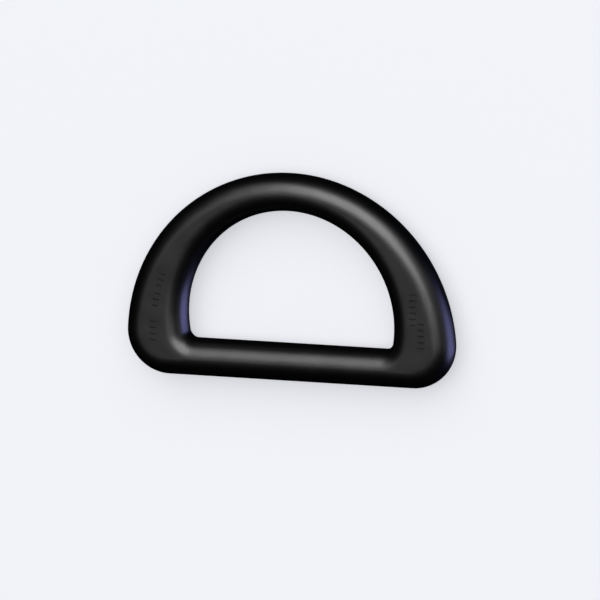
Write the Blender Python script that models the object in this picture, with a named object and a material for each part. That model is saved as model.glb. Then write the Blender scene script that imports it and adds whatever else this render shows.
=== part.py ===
"""A moulded plastic D ring for webbing 25 mm wide, lying on its back face.

Units are metres and +Z is up. The straight bar runs along X, the arch rises towards +Y,
and the origin is on the surface that the ring rests on, under the middle of its outline.

The ring is one solid, a D-shaped band of one thickness whose inner and outer edges are
fully rounded. The band is wider at its two sides than at the bar and at the crown, which
leaves a flat crescent on each side. Rows of small raised bars stand on the front of the
crescents.
"""

import math

import bmesh
import bpy
from mathutils import Matrix, Vector

MM = 0.001

# Driving dimensions
OPENING_RADIUS = 12.5 * MM
OPENING_HEIGHT = 15.2 * MM
BAR_WIDTH = 4.3 * MM
CROWN_WIDTH = 4.3 * MM
THICKNESS = 4.3 * MM
EDGE_RADIUS = 2.1 * MM
OUTER_RADIUS = 19.65 * MM
OUTER_CORNER_RADIUS = 5.0 * MM
OPENING_CORNER_RADIUS = 1.0 * MM

# Raised bars on the front of the crescents, which lie across their rows. Each stands up by its
# height and is sunk into the ring by its root.
MARK_LENGTH = 0.86 * MM
MARK_WIDTH = 0.18 * MM
MARK_HEIGHT = 0.12 * MM
MARK_ROOT = 0.3 * MM
MARK_ROWS = (
    # middle of the first bar, middle of the last bar, number of bars
    ((15.40 * MM, 11.10 * MM), (15.34 * MM, 7.60 * MM), 6),
    ((16.36 * MM, 7.80 * MM), (16.31 * MM, 5.00 * MM), 5),
    ((-14.72 * MM, 11.80 * MM), (-15.09 * MM, 10.45 * MM), 3),
    ((-15.34 * MM, 9.50 * MM), (-15.63 * MM, 8.13 * MM), 3),
    ((-15.85 * MM, 6.30 * MM), (-16.00 * MM, 4.20 * MM), 4),
)

# Fineness of the rounded forms, and the least angle that still shows as an edge
ARC_STEP = math.radians(3.0)
CORNER_STEP = math.radians(7.5)
STEP_SLACK = 1e-6
EDGE_SEGMENTS = 6
WELD = 0.0001 * MM
SHARP_ANGLE = math.radians(30.0)

# Finish
BLACK = (0.006, 0.006, 0.006, 1.0)
ROUGHNESS = 0.36

# Worked out from the driving dimensions, with y = 0 at the ring's straight outer edge
OVERALL_HEIGHT = BAR_WIDTH + OPENING_HEIGHT + CROWN_WIDTH
OUTER_CENTRE_Y = OVERALL_HEIGHT - OUTER_RADIUS
OPENING_CENTRE_Y = BAR_WIDTH + OPENING_HEIGHT - OPENING_RADIUS


def clear_scene():
    for old in list(bpy.data.objects):
        bpy.data.objects.remove(old, do_unlink=True)


def new_collection(name):
    collection = bpy.data.collections.new(name)
    bpy.context.scene.collection.children.link(collection)
    return collection


def angles(start, end, step):
    """Both ends, and each whole multiple of the step between them."""
    first = math.floor(start / step + STEP_SLACK) + 1
    last = math.ceil(end / step - STEP_SLACK) - 1
    return [start] + [i * step for i in range(first, last + 1)] + [end]


def arc(centre_x, centre_y, radius, start, end, step):
    return [
        (centre_x + radius * math.cos(a), centre_y + radius * math.sin(a))
        for a in angles(start, end, step)
    ]


def d_outline(radius, centre_y, corner, bar_y, grow):
    """Points of a D: a straight bar, a great arc, and corner arcs tangent to both, all grown outwards."""
    corner_y = bar_y + corner
    rise = corner_y - centre_y
    corner_x = math.sqrt((radius - corner) ** 2 - rise**2)
    join = math.atan2(rise, corner_x)
    right = arc(corner_x, corner_y, corner + grow, -math.pi / 2, join, CORNER_STEP)
    right += arc(0.0, centre_y, radius + grow, join, math.pi / 2, ARC_STEP)[1:]
    left = [(-x, y) for x, y in reversed(right[:-1])]
    return right + left


def band_curve():
    """The two outlines of the flat faces, filled between them and rounded over their edges."""
    flat_outlines = (
        d_outline(OUTER_RADIUS, OUTER_CENTRE_Y, OUTER_CORNER_RADIUS, 0.0, -EDGE_RADIUS),
        d_outline(
            OPENING_RADIUS, OPENING_CENTRE_Y, OPENING_CORNER_RADIUS, BAR_WIDTH, EDGE_RADIUS
        ),
    )
    curve = bpy.data.curves.new("band_outlines", "CURVE")
    curve.dimensions = "2D"
    curve.fill_mode = "BOTH"
    curve.extrude = THICKNESS / 2 - EDGE_RADIUS
    curve.bevel_depth = EDGE_RADIUS
    curve.bevel_resolution = EDGE_SEGMENTS - 1
    for outline in flat_outlines:
        spline = curve.splines.new("POLY")
        spline.points.add(len(outline) - 1)
        spline.use_cyclic_u = True
        for point, (x, y) in zip(spline.points, outline):
            point.co = (x, y, 0.0, 1.0)
    return curve


def mesh_from_curve(name, curve, location, collection):
    """A closed mesh object in place of the curve, its caps welded to its sides."""
    drawn = bpy.data.objects.new(name + "_outline", curve)
    drawn.location = location
    collection.objects.link(drawn)
    bpy.context.view_layer.update()
    evaluated = drawn.evaluated_get(bpy.context.evaluated_depsgraph_get())
    mesh = bpy.data.meshes.new_from_object(evaluated)
    mesh.name = name
    shape = bmesh.new()
    shape.from_mesh(mesh)
    bmesh.ops.remove_doubles(shape, verts=shape.verts, dist=WELD)
    bmesh.ops.recalc_face_normals(shape, faces=shape.faces)
    shape.to_mesh(mesh)
    shape.free()
    made = bpy.data.objects.new(name, mesh)
    made.matrix_world = drawn.matrix_world
    collection.objects.link(made)
    bpy.data.objects.remove(drawn, do_unlink=True)
    bpy.data.curves.remove(curve)
    return made


def raised_bars(collection):
    """Small blocks sunk into the front faces of the crescents, each lying across its row."""
    shape = bmesh.new()
    depth = MARK_HEIGHT + MARK_ROOT
    size = Matrix.Diagonal((MARK_WIDTH, MARK_LENGTH, depth, 1.0))
    for first, last, count in MARK_ROWS:
        start, end = Vector(first), Vector(last)
        along = end - start
        turn = Matrix.Rotation(math.atan2(along.y, along.x), 4, "Z")
        for i in range(count):
            x, y = start.lerp(end, i / (count - 1))
            middle = (x, y - OVERALL_HEIGHT / 2, THICKNESS + MARK_HEIGHT - depth / 2)
            place = Matrix.Translation(middle) @ turn
            bmesh.ops.create_cube(shape, size=1.0, matrix=place @ size)
    mesh = bpy.data.meshes.new("raised_bars")
    shape.to_mesh(mesh)
    shape.free()
    bars = bpy.data.objects.new("raised_bars", mesh)
    bars.hide_render = True
    bars.display_type = "WIRE"
    collection.objects.link(bars)
    return bars


def black_acetal():
    material = bpy.data.materials.new("black_acetal")
    material.use_nodes = True
    shader = material.node_tree.nodes["Principled BSDF"]
    shader.inputs["Base Color"].default_value = BLACK
    shader.inputs["Roughness"].default_value = ROUGHNESS
    shader.inputs["Metallic"].default_value = 0.0
    return material


def build():
    clear_scene()
    parts = new_collection("d_ring")
    helpers = new_collection("cutters")
    helpers.hide_render = True
    place = (0.0, -OVERALL_HEIGHT / 2, THICKNESS / 2)
    ring = mesh_from_curve("d_ring", band_curve(), place, parts)
    join = ring.modifiers.new("raised_bars", "BOOLEAN")
    join.operation = "UNION"
    join.solver = "EXACT"
    join.object = raised_bars(helpers)
    ring.data.shade_smooth()
    ring.data.set_sharp_from_angle(angle=SHARP_ANGLE)
    ring.data.materials.append(black_acetal())


build()
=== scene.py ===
import math

import bmesh
import bpy
from mathutils import Matrix, Vector


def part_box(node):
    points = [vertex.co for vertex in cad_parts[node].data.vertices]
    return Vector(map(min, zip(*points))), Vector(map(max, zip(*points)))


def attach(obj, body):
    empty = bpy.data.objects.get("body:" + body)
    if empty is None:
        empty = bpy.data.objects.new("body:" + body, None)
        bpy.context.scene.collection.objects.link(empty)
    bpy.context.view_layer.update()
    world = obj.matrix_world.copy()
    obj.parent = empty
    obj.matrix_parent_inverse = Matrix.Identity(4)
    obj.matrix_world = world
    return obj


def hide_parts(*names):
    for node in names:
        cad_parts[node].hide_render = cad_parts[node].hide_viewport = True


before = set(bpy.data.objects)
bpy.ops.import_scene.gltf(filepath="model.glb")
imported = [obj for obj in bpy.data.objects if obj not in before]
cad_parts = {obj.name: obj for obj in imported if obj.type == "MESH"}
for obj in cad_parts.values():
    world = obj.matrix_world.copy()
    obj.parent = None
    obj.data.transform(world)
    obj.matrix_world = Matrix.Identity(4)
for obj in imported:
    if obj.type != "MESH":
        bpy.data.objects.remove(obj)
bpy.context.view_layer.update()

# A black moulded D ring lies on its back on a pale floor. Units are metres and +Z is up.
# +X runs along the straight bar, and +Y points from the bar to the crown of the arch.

MM = 0.001
NODE = "d_ring"

# The ring's driving dimensions
OPENING_RADIUS = 12.5 * MM
OPENING_HEIGHT = 15.2 * MM
BAR_WIDTH = 4.3 * MM
CROWN_WIDTH = 4.3 * MM
THICKNESS = 4.3 * MM
EDGE_RADIUS = 2.1 * MM
OUTER_RADIUS = 19.65 * MM
OUTER_CORNER_RADIUS = 5.0 * MM
OPENING_CORNER_RADIUS = 1.0 * MM

# Raised bars on the front of the crescents, which lie across their rows. Each stands up by its
# height and is sunk into the ring by its root.
MARK_LENGTH = 0.86 * MM
MARK_WIDTH = 0.18 * MM
MARK_HEIGHT = 0.12 * MM
MARK_ROOT = 0.3 * MM
MARK_ROWS = (
    # middle of the first bar, middle of the last bar, number of bars
    ((15.40 * MM, 11.10 * MM), (15.34 * MM, 7.60 * MM), 6),
    ((16.36 * MM, 7.80 * MM), (16.31 * MM, 5.00 * MM), 5),
    ((-14.72 * MM, 11.80 * MM), (-15.09 * MM, 10.45 * MM), 3),
    ((-15.34 * MM, 9.50 * MM), (-15.63 * MM, 8.13 * MM), 3),
    ((-15.85 * MM, 6.30 * MM), (-16.00 * MM, 4.20 * MM), 4),
)
MARK_WALL = (
    # height above the flat, how far the wall leans in there
    (-MARK_ROOT, 0.0),
    (-0.01 * MM, 0.0),
    (0.10 * MM, 0.045 * MM),
    (MARK_HEIGHT, 0.06 * MM),
)

# Fineness of the meshes: segments of half the D, of its section and of a raised bar's round
# end, and the least angle that still shows as an edge
BAR_SEGMENTS = 16
CORNER_SEGMENTS = 20
ARC_SEGMENTS = 80
EDGE_SEGMENTS = 12
FLAT_SEGMENTS = 4
MARK_END_SEGMENTS = 8
SHARP_ANGLE = math.radians(32.0)

# Worked out from the driving dimensions, with y = 0 at the ring's straight outer edge
OVERALL_HEIGHT = BAR_WIDTH + OPENING_HEIGHT + CROWN_WIDTH
OUTER_CENTRE_Y = OVERALL_HEIGHT - OUTER_RADIUS
OPENING_CENTRE_Y = BAR_WIDTH + OPENING_HEIGHT - OPENING_RADIUS

# Black acetal. Scales are in features per metre, and a gain is the weight of each finer layer
# of a noise, whose values mostly stay in the usual range. The patches add to the flow's
# roughness.
ACETAL_IOR = 1.48
DARKER_BLACK = (0.0001, 0.0001, 0.0001, 1.0)
LIGHTER_BLACK = (0.0003, 0.0003, 0.0003, 1.0)
GRAIN_SCALE = 9000.0
GRAIN_DETAIL = 1.0
GRAIN_DEPTH = 0.005 * MM
FLOW_SCALE = 260.0
FLOW_DETAIL = 1.0
FLOW_DEPTH = 0.05 * MM
FLOW_ROUGHNESS = (0.318, 0.336)
PATCH_SCALE = 1100.0
PATCH_DETAIL = 4.0
PATCH_GAIN = 0.6
PATCH_ROUGHNESS = (-0.008, 0.012)
USUAL_GAIN = 0.5
USUAL_RANGE = (0.3, 0.7)

# The floor: plain pale blue-grey, lit a little from within
FLOOR_HALF_SIDE = 2.0
FLOOR_SEGMENTS = 8
FLOOR_COLOUR = (0.87, 0.885, 0.925)
FLOOR_GLOW = 0.55
FLOOR_ROUGHNESS = 0.9
FLOOR_SPECULAR = 0.1

# Soft rectangular lights
KEY_DIRECTION = Vector((0.0566, 0.4714, 0.8801))
KEY_FOOT_DIRECTION = Vector((0.058, -0.170, 0.984))
SIDE_DIRECTION = Vector((0.956, -0.152, -0.252))
LOW_SIDE_DIRECTION = Vector((0.879, -0.176, -0.443))
LOWEST_SIDE_DIRECTION = Vector((0.684, -0.396, -0.613))
FILL_DIRECTION = Vector((0.919, 0.128, 0.372))
WHITE = (1.0, 1.0, 1.0)
BLUE = (0.445, 0.445, 1.0)
RING_PANELS = (
    # name, direction from the ring, distance in metres, half-angles in degrees, radiance, colour
    ("key_core", KEY_DIRECTION, 2.0, (22.8, 22.8), 6.2, WHITE),
    ("key_wide", KEY_DIRECTION, 2.6, (41.9, 39.3), 1.24, WHITE),
    ("key_foot", KEY_FOOT_DIRECTION, 1.8, (3.5, 6.3), 2.3, WHITE),
    ("side", SIDE_DIRECTION, 2.2, (18.7, 22.7), 3.02, BLUE),
    ("low_side", LOW_SIDE_DIRECTION, 2.8, (30.7, 12.2), 1.89, BLUE),
    ("lowest_side", LOWEST_SIDE_DIRECTION, 3.0, (13.9, 10.6), 0.6, BLUE),
    ("right_fill", FILL_DIRECTION, 2.4, (16.3, 23.9), 0.5, WHITE),
)
FLOOR_PANEL = ("key_on_floor", KEY_DIRECTION, 2.3, (41.9, 39.3), 0.79, WHITE)
AMBIENT_COLOUR = (0.92, 0.93, 0.96)
AMBIENT_STRENGTH = 0.14

# The camera's turn about the upright ring's height, width and depth, where it aims, how far
# away it stands, its lens, and the nearest and farthest that it sees
VIEW_YAW = math.radians(-20.80)
VIEW_PITCH = math.radians(11.22)
VIEW_ROLL = math.radians(0.815)
VIEW_AIM = Vector((1.126 * MM, -2.553 * MM, 2.285 * MM))
VIEW_DISTANCE = 1.8769
VIEW_LENS_MM = 1000.0
VIEW_SENSOR_MM = 36.0
VIEW_NEAREST = 0.05
VIEW_FARTHEST = 10.0


def half_outline(radius, centre_y, corner, bar_y, grow):
    """Points and outward directions of half a D, from the middle of its bar to its crown.

    The D is a straight bar, a corner arc and a great arc, grown outwards by a distance.
    """
    corner_y = bar_y + corner
    rise = corner_y - centre_y
    corner_x = math.sqrt((radius - corner) ** 2 - rise**2)
    join = math.atan2(rise, corner_x)
    down = -math.pi / 2
    points = []
    for i in range(BAR_SEGMENTS):
        points.append((corner_x * i / BAR_SEGMENTS, bar_y - grow, down))
    for i in range(CORNER_SEGMENTS):
        a = down + (join - down) * i / CORNER_SEGMENTS
        x = corner_x + (corner + grow) * math.cos(a)
        y = corner_y + (corner + grow) * math.sin(a)
        points.append((x, y, a))
    for i in range(ARC_SEGMENTS + 1):
        a = join + (math.pi / 2 - join) * i / ARC_SEGMENTS
        x = (radius + grow) * math.cos(a)
        y = centre_y + (radius + grow) * math.sin(a)
        points.append((x, y, a))
    return [(Vector((x, y)), Vector((math.cos(a), math.sin(a)))) for x, y, a in points]


def whole_outline(half):
    """The half and its mirror image, as one closed round."""
    mirror = Matrix(((-1, 0), (0, 1)))
    left = [(mirror @ point, mirror @ out) for point, out in reversed(half[1:-1])]
    return half + left


def section(outer, inner):
    """One closed section of the band: its outer edge, back, opening's edge and front, in turn."""
    straight = THICKNESS / 2 - EDGE_RADIUS
    ring = []

    def rounded(point, out, turns):
        for side, a in turns:
            across = point + out * EDGE_RADIUS * math.cos(a)
            ring.append((across.x, across.y, side * straight + EDGE_RADIUS * math.sin(a)))

    def flat(start, end, side):
        for i in range(1, FLAT_SEGMENTS):
            point = start.lerp(end, i / FLAT_SEGMENTS)
            ring.append((point.x, point.y, side * THICKNESS / 2))

    quarter = [math.pi / 2 * i / EDGE_SEGMENTS for i in range(EDGE_SEGMENTS + 1)]
    falling = [(1, a) for a in reversed(quarter)] + [(-1, -a) for a in quarter]
    rising = [(-side, -a) for side, a in falling]
    rounded(*outer, falling)
    flat(outer[0], inner[0], -1)
    rounded(inner[0], -inner[1], rising)
    flat(inner[0], outer[0], 1)
    return ring


def join_rounds(shape, low, high):
    """A strip of faces between two closed rounds with the same number of points."""
    for j in range(len(low)):
        j2 = (j + 1) % len(low)
        shape.faces.new((low[j], low[j2], high[j2], high[j]))


def band_mesh():
    """The band as a closed loft of sections, resting on z = 0."""
    outer = whole_outline(
        half_outline(OUTER_RADIUS, OUTER_CENTRE_Y, OUTER_CORNER_RADIUS, 0.0, -EDGE_RADIUS)
    )
    inner = whole_outline(
        half_outline(
            OPENING_RADIUS, OPENING_CENTRE_Y, OPENING_CORNER_RADIUS, BAR_WIDTH, EDGE_RADIUS
        )
    )
    shape = bmesh.new()
    rows = [
        [shape.verts.new((x, y, z + THICKNESS / 2)) for x, y, z in section(o, i)]
        for o, i in zip(outer, inner)
    ]
    for row, after in zip(rows, rows[1:] + rows[:1]):
        join_rounds(shape, row, after)
    bmesh.ops.recalc_face_normals(shape, faces=shape.faces)
    return shape


def bar_outline(inset):
    """A round-ended bar seen from above, pointing along +Y and drawn in by a distance."""
    radius = MARK_WIDTH / 2 - inset
    reach = MARK_LENGTH / 2 - MARK_WIDTH / 2
    points = []
    for centre, start in ((reach, 0.0), (-reach, math.pi)):
        for i in range(MARK_END_SEGMENTS + 1):
            a = start + math.pi * i / MARK_END_SEGMENTS
            points.append((radius * math.cos(a), centre + radius * math.sin(a)))
    return points


def add_raised_bar(shape, place):
    """A low bar with drafted walls and an eased top, closed below the flat it stands on."""
    rows = [
        [shape.verts.new(place @ Vector((x, y, height))) for x, y in bar_outline(inset)]
        for height, inset in MARK_WALL
    ]
    for low, high in zip(rows, rows[1:]):
        join_rounds(shape, low, high)
    shape.faces.new(reversed(rows[0]))
    shape.faces.new(rows[-1])


def raised_bars_mesh():
    """All the raised bars, each lying across its row."""
    shape = bmesh.new()
    for first, last, count in MARK_ROWS:
        start, end = Vector(first), Vector(last)
        along = end - start
        turn = Matrix.Rotation(math.atan2(along.y, along.x), 4, "Z")
        for i in range(count):
            x, y = start.lerp(end, i / (count - 1))
            add_raised_bar(shape, Matrix.Translation((x, y, THICKNESS)) @ turn)
    return shape


def object_from(name, shape, origin):
    mesh = bpy.data.meshes.new(name)
    shape.to_mesh(mesh)
    shape.free()
    mesh.transform(Matrix.Translation(origin))
    made = bpy.data.objects.new(name, mesh)
    bpy.context.scene.collection.objects.link(made)
    return made


def make_ring():
    """The ring with its raised bars as one closed mesh, in the place of the CAD solid."""
    low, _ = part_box(NODE)
    origin = Vector((0.0, low.y, low.z))
    ring = object_from("moulded_ring", band_mesh(), origin)
    bars = object_from("bars_to_join", raised_bars_mesh(), origin)
    join = ring.modifiers.new("raised_bars", "BOOLEAN")
    join.operation = "UNION"
    join.solver = "EXACT"
    join.object = bars
    bpy.context.view_layer.update()
    evaluated = ring.evaluated_get(bpy.context.evaluated_depsgraph_get())
    joined = bpy.data.meshes.new_from_object(evaluated)
    joined.name = "moulded_ring"
    ring.modifiers.clear()
    ring.data = joined
    bpy.data.objects.remove(bars, do_unlink=True)
    joined.shade_smooth()
    joined.set_sharp_from_angle(angle=SHARP_ANGLE)
    return ring


def noise(nodes, links, coordinates, scale, detail, gain=USUAL_GAIN):
    node = nodes.new("ShaderNodeTexNoise")
    node.inputs["Scale"].default_value = scale
    node.inputs["Detail"].default_value = detail
    node.inputs["Roughness"].default_value = gain
    links.new(coordinates, node.inputs["Vector"])
    return node.outputs["Fac"]


def spread(nodes, links, value, low, high):
    """A noise value stretched from its usual range to the range low to high."""
    node = nodes.new("ShaderNodeMapRange")
    node.inputs["From Min"].default_value = USUAL_RANGE[0]
    node.inputs["From Max"].default_value = USUAL_RANGE[1]
    node.inputs["To Min"].default_value = low
    node.inputs["To Max"].default_value = high
    links.new(value, node.inputs["Value"])
    return node.outputs["Result"]


def bump(nodes, links, height, distance, before=None):
    """A normal from a height times a distance, laid over an earlier normal if one is given."""
    node = nodes.new("ShaderNodeBump")
    node.inputs["Distance"].default_value = distance
    links.new(height, node.inputs["Height"])
    if before is not None:
        links.new(before, node.inputs["Normal"])
    return node.outputs["Normal"]


def black_acetal():
    """Black satin moulded plastic: an even fine grain, a slight flow, and faint patches of gloss."""
    material = bpy.data.materials.new("black_acetal")
    material.use_nodes = True
    nodes = material.node_tree.nodes
    links = material.node_tree.links
    shader = nodes["Principled BSDF"]
    shader.inputs["IOR"].default_value = ACETAL_IOR
    where = nodes.new("ShaderNodeTexCoord").outputs["Object"]

    grain = noise(nodes, links, where, GRAIN_SCALE, GRAIN_DETAIL)
    flow = noise(nodes, links, where, FLOW_SCALE, FLOW_DETAIL)
    patches = noise(nodes, links, where, PATCH_SCALE, PATCH_DETAIL, PATCH_GAIN)

    shade = nodes.new("ShaderNodeMix")
    shade.data_type = "RGBA"
    shade.inputs["A"].default_value = DARKER_BLACK
    shade.inputs["B"].default_value = LIGHTER_BLACK
    links.new(spread(nodes, links, patches, 0.0, 1.0), shade.inputs["Factor"])
    links.new(shade.outputs["Result"], shader.inputs["Base Color"])

    gloss = nodes.new("ShaderNodeMath")
    gloss.operation = "ADD"
    links.new(spread(nodes, links, flow, *FLOW_ROUGHNESS), gloss.inputs[0])
    links.new(spread(nodes, links, patches, *PATCH_ROUGHNESS), gloss.inputs[1])
    links.new(gloss.outputs["Value"], shader.inputs["Roughness"])

    uneven = bump(nodes, links, flow, FLOW_DEPTH)
    links.new(bump(nodes, links, grain, GRAIN_DEPTH, uneven), shader.inputs["Normal"])
    return material


def pale_floor_material():
    material = bpy.data.materials.new("pale_floor")
    material.use_nodes = True
    shader = material.node_tree.nodes["Principled BSDF"]
    shader.inputs["Roughness"].default_value = FLOOR_ROUGHNESS
    shader.inputs["Specular IOR Level"].default_value = FLOOR_SPECULAR
    shader.inputs["Base Color"].default_value = (*FLOOR_COLOUR, 1.0)
    shader.inputs["Emission Color"].default_value = (*FLOOR_COLOUR, 1.0)
    shader.inputs["Emission Strength"].default_value = FLOOR_GLOW
    return material


def make_floor(height):
    """A pale floor that the ring doesn't mirror, so that the ring's edges stay black.

    It hides no light, because some of the ring's lights stand below it.
    """
    shape = bmesh.new()
    bmesh.ops.create_grid(
        shape, x_segments=FLOOR_SEGMENTS, y_segments=FLOOR_SEGMENTS, size=FLOOR_HALF_SIDE
    )
    floor = object_from("pale_floor", shape, Vector((0.0, 0.0, height)))
    floor.data.materials.append(pale_floor_material())
    floor.visible_glossy = False
    floor.visible_shadow = False
    return floor


def only(name, item):
    """A collection of one object, for a light that is meant for it alone."""
    holder = bpy.data.collections.new(name)
    holder.objects.link(item)
    return holder


def soft_panel(lit, blocker, name, direction, distance, half_angles, radiance, colour):
    """A soft light in a direction: one object takes its light, and one may cast its shadows.

    Its energy is what gives its face the radiance.
    """
    light = bpy.data.lights.new(name, "AREA")
    light.shape = "RECTANGLE"
    light.size = 2 * distance * math.tan(math.radians(half_angles[0]))
    light.size_y = 2 * distance * math.tan(math.radians(half_angles[1]))
    light.color = colour
    light.energy = radiance * math.pi * light.size * light.size_y
    panel = bpy.data.objects.new(name, light)
    bpy.context.scene.collection.objects.link(panel)
    away = direction.normalized()
    across = Vector((0.0, 1.0, 0.0)).cross(away).normalized()
    up = away.cross(across)
    turn = Matrix((across, up, away)).transposed()
    panel.matrix_world = Matrix.Translation(away * distance) @ turn.to_4x4()
    panel.visible_camera = False
    panel.light_linking.receiver_collection = only(name + "_lights", lit)
    panel.light_linking.blocker_collection = only(name + "_shadows", blocker)


def make_world():
    """Pale surroundings that light the floor, and that the gloss sees as black."""
    world = bpy.data.worlds.new("soft_surroundings")
    bpy.context.scene.world = world
    world.use_nodes = True
    nodes = world.node_tree.nodes
    links = world.node_tree.links
    pale = nodes["Background"]
    pale.inputs["Color"].default_value = (*AMBIENT_COLOUR, 1.0)
    pale.inputs["Strength"].default_value = AMBIENT_STRENGTH
    rays = nodes.new("ShaderNodeLightPath")
    chosen = nodes.new("ShaderNodeMixShader")
    links.new(rays.outputs["Is Glossy Ray"], chosen.inputs["Fac"])
    links.new(pale.outputs["Background"], chosen.inputs[1])
    links.new(chosen.outputs["Shader"], nodes["World Output"].inputs["Surface"])


def make_camera():
    """A long lens at the angle that shows the ring's front, its right side and the top of its arch."""
    turn = (
        Matrix.Rotation(-VIEW_YAW, 3, "Y")
        @ Matrix.Rotation(-VIEW_PITCH, 3, "X")
        @ Matrix.Rotation(-VIEW_ROLL, 3, "Z")
    )
    lens = bpy.data.cameras.new("camera")
    lens.lens = VIEW_LENS_MM
    lens.sensor_width = VIEW_SENSOR_MM
    lens.clip_start = VIEW_NEAREST
    lens.clip_end = VIEW_FARTHEST
    camera = bpy.data.objects.new("camera", lens)
    back = turn.col[2]
    camera.matrix_world = Matrix.Translation(VIEW_AIM + back * VIEW_DISTANCE) @ turn.to_4x4()
    bpy.context.scene.collection.objects.link(camera)
    bpy.context.scene.camera = camera


def main():
    bpy.context.scene.view_settings.view_transform = "Standard"
    low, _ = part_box(NODE)
    ring = make_ring()
    ring.data.materials.append(black_acetal())
    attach(ring, "root")
    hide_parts(NODE)
    floor = make_floor(low.z)
    for panel in RING_PANELS:
        soft_panel(ring, floor, *panel)
    soft_panel(floor, ring, *FLOOR_PANEL)
    make_world()
    make_camera()


main()
